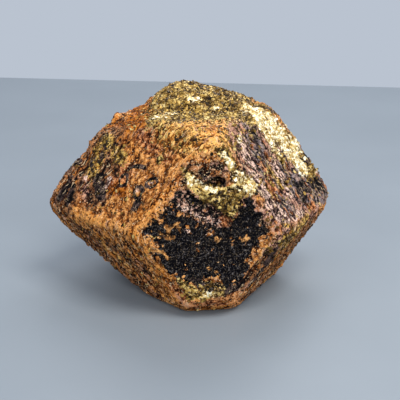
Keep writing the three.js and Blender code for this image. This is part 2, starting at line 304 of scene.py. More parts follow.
PATCHES: dict[Zone, tuple[Patch, ...]] = {
    Zone.TAN: (
        bar(-13.0, -11.0, 18.0, -7.5, -13.0, 25.0, 4.6),
        BARE_FACE,
        bar(-3.0, 17.0, 20.0, 6.0, 18.0, 12.0, 7.0),
    ),
    Zone.ORANGE: (
        bar(-11.2, 10.0, 28.6, -9.6, -3.0, 29.4, 3.2),
        bar(-8.4, 12.0, 29.8, -7.4, 5.0, 30.6, 2.4),
        bar(-14.8, -8.4, 19.8, -12.8, -10.2, 20.2, 1.2),
        spot(-8.4, -5.5, 29.4, 1.0),
        bar(8.0, 10.0, 29.0, 12.0, 6.0, 29.0, 2.5),
    ),
    Zone.RED: (
        bar(-9.0, -6.5, 29.0, -5.5, -12.5, 27.2, 2.4),
        bar(-13.4, 2.6, 28.0, -11.4, -3.6, 28.0, 1.6),
        bar(-19.4, -2.4, 20.4, -14.0, -7.6, 21.6, 3.2),
        bar(-13.0, 2.0, 28.4, -11.8, -0.5, 28.4, 1.8),
        bar(-6.6, -16.6, 5.6, -3.0, -17.2, 3.0, 1.2),
        bar(-4.0, -17.0, 2.2, 1.5, -17.0, 2.2, 1.4),
        bar(10.0, 12.0, 20.0, 13.0, 14.0, 13.0, 2.0),
    ),
    Zone.HONEY: (
        bar(8.4, -17.3, 10.0, 10.8, -17.0, 13.2, 0.7),
        bar(-4.5, -11.5, 30.6, 6.0, -8.6, 30.6, 4.0),
        bar(-2.6, -14.6, 29.2, 3.0, -14.8, 29.0, 2.6),
        bar(-19.0, -5.0, 10.4, -11.6, -10.6, 4.6, 1.2),
        bar(-14.0, -11.4, 10.2, -8.4, -15.0, 5.6, 1.0),
        bar(-14.0, 6.0, 24.0, -9.0, 12.0, 24.0, 3.0),
    ),
    Zone.DARK: (
        bar(-23.5, -0.5, 16.0, -17.0, 2.0, 26.5, 3.4),
        bar(-17.0, -6.5, 18.5, -14.0, -2.0, 26.0, 2.6),
        bar(-22.0, -1.0, 10.0, -8.5, -9.0, 1.0, 1.7),
        bar(-15.0, -8.0, 10.4, -9.5, -13.0, 6.6, 1.0),
        bar(-20.6, -2.6, 12.0, -17.4, -5.4, 9.0, 1.2),
        bar(-15.4, -1.6, 26.4, -17.4, -3.6, 21.6, 1.4),
        bar(-13.8, 1.8, 28.0, -12.8, -1.8, 27.8, 1.5),
        bar(-14.2, -6.2, 22.6, -16.4, -5.4, 19.4, 1.3),
        # Across the torn hollow: partly its dark colour, partly painted shade in the pit.
        line(-3.0, 24.8, 4.0, 23.2, 1.7),
        bar(19.0, -3.0, 10.5, 8.0, -11.0, 3.0, 3.6),
        bar(13.4, -13.4, 12.6, 7.0, -16.4, 6.6, 2.4),
        bar(-20.0, 6.0, 15.0, -10.0, 14.0, 8.0, 5.0),
        bar(9.0, 13.0, 22.0, 18.0, 6.0, 12.0, 4.5),
        # Inside the torn hollow: partly its dark colour, partly painted shade.
        bar(-1.5, -17.4, 24.4, 2.0, -17.0, 24.0, 1.0),
        bar(1.2, -18.4, 20.8, 3.4, -18.4, 19.0, 1.9),
        spot(-4.2, -17.8, 22.8, 0.8),
        bar(-1.0, 4.0, 35.0, 4.0, 3.0, 34.6, 1.4),
        spot(2.0, -1.5, 32.8, 0.9),
        bar(6.0, 1.0, 33.0, 10.0, 3.0, 31.5, 1.4),
        bar(-1.8, -17.6, 6.0, 1.4, -17.6, 4.6, 0.9),
    ),
    Zone.PLUM: (
        bar(6.0, -12.5, 28.0, 11.5, -13.0, 19.5, 4.2),
        bar(11.0, -6.5, 28.0, 17.5, -7.0, 17.5, 3.2),
        bar(10.0, -15.5, 17.5, 19.5, -6.0, 15.6, 3.0),
        bar(-14.2, 1.0, 26.6, -13.4, -2.4, 26.4, 1.2),
        bar(-20.6, 0.6, 20.6, -17.4, -4.4, 17.6, 1.5),
        bar(-17.0, 1.0, 26.0, -19.6, -0.4, 20.8, 1.3),
        line(0.6, 25.6, 4.4, 24.6, 1.3),
        bar(13.0, 9.0, 24.0, 20.0, 5.0, 16.0, 4.0),
        line(-4.0, 20.4, 2.4, 17.4, 2.2),
        line(5.4, 19.4, 8.0, 17.0, 1.6),
        bar(12.4, -16.0, 14.6, 6.4, -17.0, 5.4, 1.5),
    ),
    Zone.PINK: (
        bar(5.6, -12.5, 28.4, 7.2, -13.2, 25.0, 1.4),
        bar(7.0, -15.4, 23.0, 9.6, -15.9, 19.6, 1.5),
        bar(10.4, -15.8, 18.4, 12.4, -14.8, 16.4, 1.2),
        bar(12.2, -9.0, 23.0, 14.4, -9.6, 18.6, 1.2),
        bar(14.6, -13.0, 15.6, 17.6, -9.4, 15.6, 0.6),
        spot(-16.4, 0.4, 26.2, 0.5),
        spot(-18.6, -2.4, 20.2, 0.6),
        line(-4.6, 19.6, -1.0, 17.4, 0.9),
        line(-1.0, 17.4, 1.6, 16.6, 0.8),
        fleck(0.2, 15.2, 0.6),
        fleck(-3.2, 15.4, 0.5),
        fleck(-5.6, 18.6, 0.5),
        bar(-14.8, -6.9, 21.0, -15.6, -7.3, 19.8, 0.5),
        spot(-10.5, -13.1, 20.8, 0.5),
        spot(-8.7, -14.0, 22.4, 0.4),
        bar(14.0, 8.0, 24.0, 20.0, 6.0, 16.0, 3.0),
    ),
    Zone.OLIVE: (
        bar(-15.3, 0.6, 27.0, -15.0, -1.4, 25.4, 1.5),
        bar(-16.6, -1.0, 24.6, -17.4, -2.6, 21.6, 1.5),
        bar(-13.6, -4.2, 24.6, -12.6, -6.2, 24.0, 1.3),
        bar(10.6, -10.8, 24.6, 12.8, -11.2, 20.6, 0.9),
        bar(9.2, -14.4, 21.8, 10.4, -14.4, 20.0, 0.7),
        bar(13.8, -5.6, 24.0, 15.2, -8.2, 19.4, 0.7),
        bar(17.5, -8.5, 13.2, 12.4, -15.0, 12.8, 1.5),
        bar(15.0, -11.0, 11.2, 12.2, -14.4, 9.6, 1.1),
        spot(12.7, -15.6, 15.6, 0.9),
        bar(-8.0, 14.0, 24.0, -16.0, 8.0, 18.0, 3.0),
    ),
    Zone.SLATE: (
        bar(7.6, -8.4, 29.2, 9.6, -10.0, 25.2, 2.3),
        bar(16.4, -7.0, 18.8, 22.2, -2.4, 16.4, 2.4),
        bar(8.0, -12.4, 24.4, 9.4, -13.4, 21.8, 1.1),
        bar(13.6, -7.4, 24.0, 15.0, -7.6, 20.0, 0.9),
        bar(11.4, -12.0, 21.4, 12.2, -12.6, 19.6, 0.8),
        bar(14.6, -4.9, 24.2, 17.2, -5.2, 20.4, 0.7),
        bar(12.4, -13.0, 18.6, 14.2, -12.4, 16.6, 1.6),
        bar(17.6, -4.4, 20.0, 18.6, -5.8, 17.0, 2.5),
        bar(20.4, -1.8, 18.6, 23.6, 0.2, 16.4, 2.5),
        bar(19.6, -3.4, 17.0, 21.4, -2.4, 15.8, 1.5),
        bar(12.2, 2.4, 31.6, 16.4, 2.6, 28.2, 1.3),
        bar(19.4, 1.0, 22.4, 20.8, 0.8, 20.2, 1.3),
        bar(9.8, -3.0, 30.6, 10.8, -3.6, 30.0, 0.6),
        bar(16.0, 8.0, 14.0, 20.0, 4.0, 12.0, 2.0),
    ),
    Zone.MICA: (
        bar(-0.5, 4.4, 33.0, 5.5, 3.5, 32.5, 7.8),
        bar(-4.0, -4.4, 31.5, 5.0, -3.4, 31.5, 4.9),
        bar(-2.0, 9.0, 31.0, 6.0, 9.0, 31.0, 5.0),
        MICA_LIP,
        bar(-4.6, -17.3, 6.2, -1.8, -17.4, 4.8, 0.8),
        line(-1.8, 4.8, 1.8, 5.2, 0.9),
        bar(-1.0, -17.5, 6.6, 1.4, -17.4, 5.6, 0.6),
        bar(-3.4, -17.2, 3.9, -1.0, -17.2, 3.6, 0.4),
        line(1.6, 28.4, 4.2, 25.0, 0.8),
        bar(-15.3, 0.4, 26.8, -15.0, -0.8, 25.8, 0.9),
        spot(-13.0, -5.4, 24.3, 0.8),
        spot(-7.0, -12.6, 25.5, 0.7),
        bar(3.0, 17.0, 28.0, -4.0, 17.5, 24.0, 3.4),
        bar(21.6, 0.6, 19.6, 20.6, -1.2, 19.0, 1.0),
    ),
    # Pale mica: the band at the right is pale mica brightened with painted glare; the small spots
    # paint glints of the mica.
    Zone.PALE_AND_GLINTS: (
        bar(10.4, -2.6, 30.4, 15.8, -1.4, 25.0, 3.2),
        bar(16.2, 1.9, 27.6, 18.8, 1.1, 23.4, 1.5),
        bar(15.8, -1.4, 24.6, 18.4, -1.4, 21.9, 2.5),
        bar(11.4, -5.4, 28.0, 13.8, -6.0, 23.6, 0.7),
        bar(4.8, -17.8, 23.8, 6.4, -17.2, 22.2, 1.4),
        bar(-3.6, -18.0, 24.4, 0.4, -18.0, 22.2, 0.6),
        spot(-3.4, -18.2, 23.4, 0.6),
        spot(-0.6, -1.5, 33.2, 0.7),
        spot(-7.4, -4.4, 30.8, 1.1),
        spot(-6.0, -5.9, 30.9, 0.9),
        spot(-5.1, -2.7, 31.6, 1.0),
        spot(-3.9, -4.3, 31.6, 0.8),
        spot(2.6, -3.0, 32.2, 0.8),
        line(1.8, 28.0, 3.6, 25.8, 0.45),
        spot(5.4, -12.6, 28.6, 0.9),
        spot(-11.6, -14.0, 18.4, 0.35),
        bar(-0.6, -17.6, 5.0, 0.8, -17.6, 4.6, 0.5),
    ),
    Zone.BARE: (
        BARE_FACE,
        bar(-6.0, 17.0, 14.0, 3.0, 18.5, 20.0, 4.5),
    ),
    Zone.INK: (
        bar(-16.7, -4.4, 20.4, -15.9, -7.2, 18.4, 1.2),
        bar(-17.4, -3.4, 20.6, -17.2, -1.0, 22.8, 0.6),
        bar(-16.2, -2.6, 23.2, -15.2, -1.4, 25.0, 0.4),
        Ring((-10.5, -13.1, 20.8), 1.05, 0.3),
        Ring((-8.7, -14.0, 22.4), 0.85, 0.26),
        Ring((-12.7, -9.2, 21.6), 1.0, 0.26),
        bar(-2.0, 18.0, 9.0, -5.0, 17.0, 6.0, 0.8),
        bar(8.0, 15.0, 16.0, 9.5, 14.0, 12.0, 0.7),
        bar(-12.0, 12.0, 20.0, -14.0, 9.0, 17.0, 0.9),
        bar(-10.8, -13.8, 19.6, -11.6, -14.0, 18.6, 0.7),
        bar(-11.9, -13.8, 18.4, -12.1, -14.4, 16.8, 0.42),
        bar(-12.0, -8.2, 22.8, -10.6, -9.6, 24.2, 0.4),
        bar(-10.4, -9.8, 24.2, -9.4, -11.3, 24.4, 0.4),
        spot(-9.2, -8.8, 27.0, 0.45),
        spot(-9.2, -13.4, 21.2, 0.4),
        bar(-14.2, -8.4, 21.6, -13.6, -7.6, 22.6, 0.35),
        # Inside the torn hollow: partly its dark colour, partly painted shade.
        bar(-1.4, -17.4, 24.2, 3.4, -17.0, 22.8, 0.9),
        bar(15.0, -4.6, 23.4, 16.2, -4.9, 21.4, 0.45),
        bar(8.0, -8.4, 28.8, 9.4, -9.6, 26.0, 0.7),
        bar(18.2, -4.8, 18.8, 18.4, -6.0, 17.2, 0.9),
        bar(22.4, -0.2, 17.2, 23.6, 0.2, 16.2, 1.2),
        bar(20.2, -2.2, 18.2, 21.8, -1.4, 17.0, 0.9),
        bar(16.6, -6.4, 19.0, 19.4, -4.2, 17.6, 0.7),
        bar(-17.8, 1.4, 25.0, -18.8, 1.6, 23.4, 0.8),
        bar(-19.6, 1.2, 22.2, -20.8, 1.4, 20.2, 1.0),
        bar(-21.6, 1.2, 19.4, -23.0, 0.2, 16.6, 1.0),
        bar(-20.8, -0.6, 18.6, -22.0, -1.6, 15.8, 0.7),
        bar(12.6, 2.0, 31.2, 15.8, 2.4, 28.6, 0.9),
        bar(19.4, 0.6, 22.2, 20.6, 0.6, 20.4, 0.9),
        spot(12.0, -3.4, 29.4, 0.5),
        bar(-2.6, -17.4, 7.2, 0.0, -17.5, 6.6, 0.45),
        bar(0.4, -17.5, 5.6, 2.6, -17.3, 5.2, 0.4),
        bar(2.8, -17.2, 4.8, 5.4, -17.0, 5.8, 0.8),
        bar(11.8, -16.4, 12.6, 9.4, -16.3, 8.8, 0.55),
        bar(10.4, -15.7, 9.0, 7.4, -15.9, 4.8, 0.6),
        bar(13.4, -12.8, 10.4, 10.8, -13.4, 7.4, 0.6),
    ),
    Zone.WEB: (
        line(-7.2, 17.4, -6.1, 15.7, 0.4),
        line(-6.1, 15.7, -6.6, 14.3, 0.36),
        line(-6.1, 15.7, -4.8, 16.5, 0.28),
        line(-4.8, 16.5, -4.5, 15.2, 0.3),
        line(-7.9, 15.2, -6.6, 14.3, 0.3),
        line(-6.6, 14.3, -5.4, 14.2, 0.3),
        line(-9.6, 12.6, -7.6, 12.2, 0.4),
        line(-7.6, 12.2, -6.8, 10.8, 0.3),
        line(-7.6, 12.2, -7.4, 13.2, 0.24),
        line(-0.4, 9.2, 2.2, 7.8, 0.35),
        line(5.2, 13.7, 6.4, 13.5, 0.4),
        fleck(1.4, 14.0, 0.45),
    ),
    Zone.SCAB: (
        fleck(2.7, 17.0, 1.1),
        bar(19.0, -7.0, 15.2, 20.0, -5.6, 15.2, 0.8),
        spot(10.4, -13.6, 21.6, 0.7),
        spot(8.6, -16.2, 19.8, 0.6),
        bar(12.4, -9.6, 21.6, 13.0, -10.4, 19.4, 0.6),
        bar(9.8, -11.4, 24.2, 11.4, -12.2, 20.4, 0.5),
    ),
    Zone.CALM: (
        bar(-20.0, -3.6, 15.6, -11.0, -12.4, 18.6, 3.6),
        bar(-12.0, -9.0, 24.0, -8.0, -12.5, 22.0, 4.0),
        bar(-13.0, -6.0, 26.0, -4.0, -13.5, 27.0, 2.6),
    ),
}


# Length and reach, in mm, of each wave that makes the outlines on the back crooked.
WANDER: tuple[Range, ...] = ((13.0, 2.4), (6.1, 1.5), (2.9, 0.8), (1.4, 0.35))
# Where in y, in mm, the waves come in, and the share of them that the front gets.
WANDER_FROM: Range = (-2.0, 7.0)
WANDER_IN_FRONT = 0.08
# How far each wave starts from the one before, in radians, and so for the waves across it.
WAVE_START = 1.7
CROSS_START = 0.9
# Length of the waves across, in lengths of the wave, and how strongly they bend it.
CROSS_LENGTH = 1.6
CROSS_BEND = 1.5


def soft_step(values: np.ndarray, low: float, high: float) -> np.ndarray:
    """A soft step from 0 below low to 1 above high."""
    share = np.clip((values - low) / (high - low), 0, 1)
    return share * share * (3 - 2 * share)


def wandered(points: np.ndarray) -> np.ndarray:
    """Points moved about, so that the patches of the back get crooked outlines.

    Args:
        points: Points in mm, one a row.

    Returns:
        The points, moved by waves of several lengths, and hardly at all on the front.
    """
    share = WANDER_IN_FRONT + (1 - WANDER_IN_FRONT) * soft_step(points[:, 1], *WANDER_FROM)
    moved = points.copy()
    for turn, (length, reach) in enumerate(WANDER):
        phase = moved[:, (1, 2, 0)] * (math.tau / length) + WAVE_START * turn
        cross = moved[:, (2, 0, 1)] * (math.tau / (CROSS_LENGTH * length)) + CROSS_START * turn
        moved = moved + reach * share[:, None] * np.sin(phase + CROSS_BEND * np.sin(cross))
    return moved


def deepest(patches: Iterable[Patch], points: np.ndarray) -> np.ndarray:
    """How deep each point lies in the patch in which it lies deepest."""
    return np.max([patch.depth(points) for patch in patches], axis=0)


def zone_depths(points: np.ndarray) -> dict[Zone, np.ndarray]:
    """How deep each point lies in each zone.

    Args:
        points: Points in mm, one a row.

    Returns:
        For each zone, the depth in its deepest patch, from -1 to 1.
    """
    depths = {}
    places = wandered(points)
    for zone, patches in PATCHES.items():
        depths[zone] = np.clip(deepest(patches, places), -1, 1)
    return depths


# ---------------------------------------------------------------- shader building


# Between these lie most of a noise texture's values.
NOISE_SPAN: Range = (0.28, 0.72)


class Wire:
    """A shader socket that takes part in Python arithmetic."""

    def __init__(self, graph: "Graph", socket: bpy.types.NodeSocket) -> None:
        """Wraps a socket of a node in a graph."""
        self.graph = graph
        self.socket = socket

    def _with(self, operation: str, *operands: "Operand") -> "Wire":
        """Adds one Math node on the operands."""
        return self.graph.node("ShaderNodeMath", {"operation": operation}, operands)

    def __add__(self, other: "Operand") -> "Wire":
        """self + other."""
        return self._with("ADD", self, other)

    def __radd__(self, other: "Operand") -> "Wire":
        """other + self."""
        return self._with("ADD", other, self)

    def __sub__(self, other: "Operand") -> "Wire":
        """self - other."""
        return self._with("SUBTRACT", self, other)

    def __rsub__(self, other: "Operand") -> "Wire":
        """other - self."""
        return self._with("SUBTRACT", other, self)

    def __mul__(self, other: "Operand") -> "Wire":
        """self * other."""
        return self._with("MULTIPLY", self, other)

    def __rmul__(self, other: "Operand") -> "Wire":
        """other * self."""
        return self._with("MULTIPLY", other, self)

    def __abs__(self) -> "Wire":
        """The value without its sign."""
        return self._with("ABSOLUTE", self)

    def high(self, other: "Operand") -> "Wire":
        """The larger of self and other."""
        return self._with("MAXIMUM", self, other)


Operand = Union[Wire, float]


def towards(share: Wire, first: Wire, second: Wire) -> Wire:
    """A value that goes from the first to the second as the share goes from 0 to 1."""
    return first + share * (second - first)


class Graph:
    """The node tree of one material, with short ways to add to it."""

    def __init__(self, name: str) -> None:
        """Starts an empty material.

        Args:
            name: Name of the material.
        """
        self.material = bpy.data.materials.new(name)
        self.material.use_nodes = True
        self.tree = self.material.node_tree
        self.tree.nodes.clear()

    def node(
        self,
        kind: str,
        settings: dict[str, Any] | None = None,
        inputs: dict[str | int, Any] | Sequence[Any] = (),
        output: str | int = 0,
    ) -> Wire:
        """Adds any node.

        Args:
            kind: The node's type.
            settings: Its own settings, set first. "stops" are a colour ramp's.
            inputs: Values or wires of its sockets, by name or in order.
            output: Which output to return.

        Returns:
            The chosen output.
        """
        node = self.tree.nodes.new(kind)
        for key, value in (settings or {}).items():
            if key == "stops":
                self._set_stops(node.color_ramp, value)
            else:
                setattr(node, key, value)
        pairs = inputs.items() if isinstance(inputs, dict) else enumerate(inputs)
        for key, value in pairs:
            if isinstance(value, Wire):
                self.tree.links.new(value.socket, node.inputs[key])
            else:
                node.inputs[key].default_value = value
        return Wire(self, node.outputs[output])

    @staticmethod
    def _set_stops(ramp: bpy.types.ColorRamp, stops: Stops) -> None:
        """Gives a colour ramp its stops.

        Args:
            ramp: The ramp of a new node.
            stops: Place and colour of each stop.
        """
        while len(ramp.elements) < len(stops):
            ramp.elements.new(1.0)
        for element, (position, colour) in zip(ramp.elements, stops):
            element.position = position
            element.color = colour

    def millimetres(self) -> Wire:
        """Object coordinates, in mm."""
        place = self.node("ShaderNodeTexCoord", output="Object")
        return self.scaled(place, (1 / MM, 1 / MM, 1 / MM))

    def scaled(self, vector: Wire, factors: Triple) -> Wire:
        """A vector with each part multiplied."""
        return self.node("ShaderNodeVectorMath", {"operation": "MULTIPLY"}, [vector, factors])

    def noise(self, place: Wire, size: float, detail: float = 2.0, rough: float = 0.5) -> Wire:
        """Soft noise, spread to fill 0 to 1.

        Args:
            place: Where it is read, in mm.
            size: Size of its blobs, in mm.
            detail: Number of finer layers.
            rough: Strength of the finer layers.

        Returns:
            The noise, with most of its values between 0 and 1.
        """
        raw = self.node(
            "ShaderNodeTexNoise",
            {"noise_dimensions": "3D"},
            {"Vector": place, "Scale": 1 / size, "Detail": detail, "Roughness": rough},
        )
        return self.spread(raw, *NOISE_SPAN)

    def crumbs(self, place: Wire, size: float, wobble: float) -> Wire:
        """Crumbs with crooked outlines, each with a brightness of its own.

        Args:
            place: Where they are read, in mm.
            size: Their size, in mm.
            wobble: How crooked their outlines are, in mm.

        Returns:
            Each crumb's brightness, from 0 to 1.
        """
        stir = self.node(
            "ShaderNodeTexNoise",
            {"noise_dimensions": "3D"},
            {"Vector": place, "Scale": 1 / (0.8 * size), "Detail": 1.0},
            "Color",
        )
        level = (LEVEL, LEVEL, LEVEL)
        swing = self.node("ShaderNodeVectorMath", {"operation": "SUBTRACT"}, [stir, level])
        swing = self.scaled(swing, (2 * wobble, 2 * wobble, 2 * wobble))
        stirred = self.node("ShaderNodeVectorMath", {"operation": "ADD"}, [place, swing])
        cells = self.node(
            "ShaderNodeTexVoronoi",
            {"voronoi_dimensions": "3D", "feature": "F1"},
            {"Vector": stirred, "Scale": 1 / size},
            "Color",
        )
        return self.node("ShaderNodeRGBToBW", {}, [cells])

    def threads(self, place: Wire, size: float, width: float) -> Wire:
        """Thin crooked lines, 1 on a line and 0 away from it."""
        swing = self.noise(place, size, 1.0)
        return self.edge(abs(swing - LEVEL), width, 0.0)

    def spread(self, value: Operand, low: float, high: float) -> Wire:
        """A value stretched so that low becomes 0 and high becomes 1, clamped."""
        return self.node("ShaderNodeMapRange", {"clamp": True}, [value, low, high, 0.0, 1.0])

    def edge(self, value: Operand, low: float, high: float) -> Wire:
        """A soft step from 0 at low to 1 at high. Low may be the higher of the two."""
        settings = {"interpolation_type": "SMOOTHSTEP"}
        return self.node("ShaderNodeMapRange", settings, [value, low, high, 0.0, 1.0])

    def attribute(self, name: str) -> Wire:
        """The value of a mesh attribute."""
        settings = {"attribute_type": "GEOMETRY", "attribute_name": name}
        return self.node("ShaderNodeAttribute", settings, output="Fac")

    def ramp(self, value: Operand, stops: Stops) -> Wire:
        """A colour looked up along a ramp."""
        return self.node("ShaderNodeValToRGB", {"stops": stops}, [value])

    def blend(self, share: Operand, first: Wire | Colour, second: Wire | Colour) -> Wire:
        """Lays one colour over another.

        Args:
            share: How much of the second covers the first, from 0 to 1.
            first: The colour below.
            second: The colour laid over it.

        Returns:
            The mixed colour.
        """
        settings = {"data_type": "RGBA", "blend_type": "MIX"}
        inputs = {"Factor": share, 6: first, 7: second}
        return self.node("ShaderNodeMix", settings, inputs, 2)

    def bump(self, height: Wire, depth: float, strength: float) -> Wire:
        """A normal tilted by a height that is depth metres from 0 to 1."""
        inputs = {"Strength": strength, "Distance": depth, "Height": height}
        return self.node("ShaderNodeBump", {}, inputs)

    def finish(self, values: dict[str, Any]) -> bpy.types.Material:
        """Adds the surface shader and the output.

        Args:
            values: Values or wires of the Principled shader's sockets.

        Returns:
            The finished material.
        """
        shader = self.node("ShaderNodeBsdfPrincipled", {}, values)
        output = self.tree.nodes.new("ShaderNodeOutputMaterial")
        self.tree.links.new(shader.socket, output.inputs["Surface"])
        return self.material


# ---------------------------------------------------------------- finishes


@dataclass(frozen=True)
class Layer:
    """One finish over the crust's own.

    Attributes:
        zone: Where it lies.
        tones: Its colours.
        ragged: How far its edge wanders.
        soft: Half the width of its edge.
    """

    zone: Zone
    tones: Tones
    ragged: float
    soft: float


# The finishes that lie under the bare garnet's edges, and those that lie over them.
UNDER: tuple[Layer, ...] = (
    Layer(Zone.TAN, TAN, 0.8, 0.25),
    Layer(Zone.RED, RED, 1.1, 0.3),
    Layer(Zone.ORANGE, ORANGE, 0.9, 0.3),
    Layer(Zone.HONEY, HONEY, 1.1, 0.35),
    Layer(Zone.PLUM, PLUM, 0.8, 0.25),
    Layer(Zone.DARK, DARK, 1.2, 0.22),
    Layer(Zone.OLIVE, OLIVE, 1.0, 0.25),
    Layer(Zone.SLATE, SLATE, 0.8, 0.2),
)
OVER: tuple[Layer, ...] = (
    Layer(Zone.SCAB, RED, 1.1, 0.3),
    Layer(Zone.WEB, CLINGING, 1.3, 0.2),
    Layer(Zone.PINK, PINK, 1.2, 0.2),
    Layer(Zone.MICA, MICA, 1.0, 0.15),
    Layer(Zone.PALE_AND_GLINTS, PALE_AND_GLINTS, 1.3, 0.2),
    Layer(Zone.INK, INK, 0.55, 0.2),
)

# Reading a noise mirrored gives a second one that doesn't follow the first.
MIRROR_X: Triple = (-1.0, 1.0, 1.0)
MIRROR_Z: Triple = (1.0, 1.0, -1.0)


@dataclass(frozen=True)
class Textures:
    """The textures of the crust, as wires of one material.

    Attributes:
        graph: The material's graph.
        place: Object coordinates, in mm.
        drawn_out: The same, drawn out along the growth streaks.
        wrap: 1 on the streaked sides, 0 elsewhere.
        smooth: 1 on the smooth tan crust, 0 elsewhere.
        fine: The finest noise.
        grains: Noise of the size of the crust's grains.
        clots: Noise of the size of small clots.
        clouds: Noise of the size of the larger stains.
        streaks: Noise along the growth streaks.
        height: The fine relief: grains and cracks, or splinters and gashes on the streaked sides.
        lift: How far the surface itself stands out of the skin round about, which paints shade into
            the gaps and light onto the tops, plus each flake's random tint.
        light: How light the surface is, from the gaps to the lightest grains, with the painted shade
            and light of the lift in it.
    """

    graph: Graph
    place: Wire
    drawn_out: Wire
    wrap: Wire
    smooth: Wire
    fine: Wire
    grains: Wire
    clots: Wire
    clouds: Wire
    streaks: Wire
    height: Wire
    lift: Wire
    light: Wire

    def toned(self, tones: Tones) -> Wire:
        """Tones laid out over the surface: dark in the gaps, light on the grains."""
        return self.graph.ramp(self.light, tones.stops())

    def mirrored(
        self, mirror: Triple, size: float, long_size: float, detail: float
    ) -> tuple[Wire, Wire]:
        """Two noises that don't follow the other textures.

        Args:
            mirror: Which parts of the place are mirrored.
            size: Size of the round one's blobs, in mm.
            long_size: Size of the long one's, as a share of a streak.
            detail: Number of finer layers.

        Returns:
            A round noise, and one drawn out along the growth streaks.
        """
        round_ones = self.graph.noise(self.graph.scaled(self.place, mirror), size, detail)
        long_ones = self.graph.noise(self.graph.scaled(self.drawn_out, mirror), long_size, detail)
        return round_ones, long_ones


@dataclass(frozen=True)
class CrustFinish:
    """Iron crust, mica, growth streaks and bare garnet, as they follow one another.

    Attributes:
        name: Name of the material.
        roughness: Roughness of the crust.
        shine: How much smoother mica and slate are.
        polish: How much smoother bare garnet is.
        speck_size: Size of the finest specks, in mm.
        grain_size: Size of the crust's grains, in mm.
        ember_size: Size of the small orange and plum stains, in mm.
        island_size: Size of the islands of crust on bare garnet, in mm.
        crack_size: From one crack to the next, in mm.
        clot_size: Size of small clots, in mm.
        cloud_size: Size of the larger stains, in mm.
        streak_length: Length of a growth streak, in mm.
        streak_width: Width of a growth streak, in mm.
        bump_depth: Depth of the finest relief, in mm.
    """

    name: str = "crusted garnet"
    roughness: float = 0.78
    shine: float = 0.25
    polish: float = 0.3
    speck_size: float = 0.24
    grain_size: float = 0.5
    ember_size: float = 0.8
    island_size: float = 1.1
    crack_size: float = 1.1
    clot_size: float = 1.7
    cloud_size: float = 6.0
    streak_length: float = 3.6
    streak_width: float = 0.46
    bump_depth: float = 0.14

    def build(self) -> bpy.types.Material:
        """Makes the material.

        Returns:
            The material of the crystal's body and of the flakes on it.
        """
        graph = Graph(self.name)
        skin = self._textures(graph)
        bare = self._bare_share(skin)
        shown: dict[Zone, Wire] = {}
        colour = self._crust(skin)
        colour = self._lay(skin, UNDER, colour, shown)
        colour = self._embers(skin, colour)
        colour = graph.blend(bare, colour, self._garnet(skin))
        colour = self._lay(skin, OVER, colour, shown)
        colour = self._specks_and_painted_glints(skin, colour, bare, shown)
        glossy = shown[Zone.MICA].high(shown[Zone.PALE_AND_GLINTS]).high(shown[Zone.SLATE])
        height = (0.7 * skin.height + 0.3 * skin.fine) * (1 - 0.45 * skin.smooth)
        return graph.finish({
            "Base Color": colour,
            "Roughness": self.roughness - self.shine * glossy - self.polish * bare,
            "Specular IOR Level": 0.06,
            "Normal": graph.bump(height, self.bump_depth * MM, 0.9),
        })

    def _textures(self, graph: Graph) -> Textures:
        """Lays out the textures that all of the finish is mixed from.

        Args:
            graph: The material's graph.

        Returns:
            The textures.
        """
        place = graph.millimetres()
        wrap = graph.attribute("wrap")
        fine = graph.noise(place, self.speck_size, 2.0, 0.75)
        grains = graph.noise(place, self.grain_size, 2.0, 0.6)
        clots = graph.noise(place, self.clot_size)
        crumbs = graph.crumbs(place, self.grain_size, 0.4)
        cracks = graph.threads(place, self.crack_size, 0.07)
        run = (1 / self.streak_length, 1 / self.streak_width, 1 / self.streak_length)
        drawn_out = graph.scaled(place, run)
        streaks = graph.noise(drawn_out, 1.0, 2.0, 0.6)
        slivers = graph.noise(drawn_out, 0.55, 2.0, 0.7)
        splinters = graph.crumbs(drawn_out, 1.0, 0.5)
        gashes = graph.threads(drawn_out, 1.3, 0.1)
        plain = 0.34 * grains + 0.22 * fine + 0.2 * clots + 0.26 * crumbs - 0.16 * cracks
        streaky = 0.2 * fine + 0.3 * slivers + 0.26 * streaks + 0.28 * splinters - 0.2 * gashes
        height = towards(wrap, plain, streaky)
        # Painted shade and light: the relief attribute darkens the gaps of the skin and lightens its
        # tops; the tint is each flake's random tone.
        lift = 0.8 * (graph.attribute("relief") - LEVEL) + 0.6 * (graph.attribute("tint") - LEVEL)
        return Textures(
            graph=graph,
            place=place,
            drawn_out=drawn_out,
            wrap=wrap,
            smooth=graph.edge(graph.attribute(Zone.TAN.value), -0.3, 0.3),
            fine=fine,
            grains=grains,
            clots=clots,
            clouds=graph.noise(place, self.cloud_size),
            streaks=streaks,
            height=height,
            lift=lift,
            light=graph.spread(height + lift, 0.24, 0.76),
        )

    def _bare_share(self, skin: Textures) -> Wire:
        """Finds where garnet lies bare.

        Args:
            skin: The crust's textures.

        Returns:
            1 where it does, and 0 elsewhere and on the islands of crust left on it.
        """
        graph, marked = skin.graph, skin.graph.attribute(Zone.BARE.value)
        depth = marked + 0.8 * skin.clots + 0.25 * skin.grains - 0.42
        islands = graph.noise(skin.place, self.island_size, 1.5)
        islands = islands + 0.3 * skin.grains + 0.7 * (1 - marked)
        return graph.edge(depth, -0.05, 0.1) * (1 - graph.edge(islands, 1.3, 1.42))

    @staticmethod
    def _crust(skin: Textures) -> Wire:
        """Colours the crust itself: rust, redder in places, with dark seams between streaks.

        Args:
            skin: The crust's textures.

        Returns:
            The crust's colour.
        """
        graph = skin.graph
        reddish = 0.6 * graph.edge(skin.clouds, 0.55, 0.8)
        colour = graph.blend(reddish, skin.toned(RUST), skin.toned(RED))
        seams = 0.95 * skin.wrap * graph.edge(skin.streaks + 0.3 * skin.clots, 0.56, 0.4)
        return graph.blend(seams * (1 - skin.smooth), colour, skin.toned(DARK))

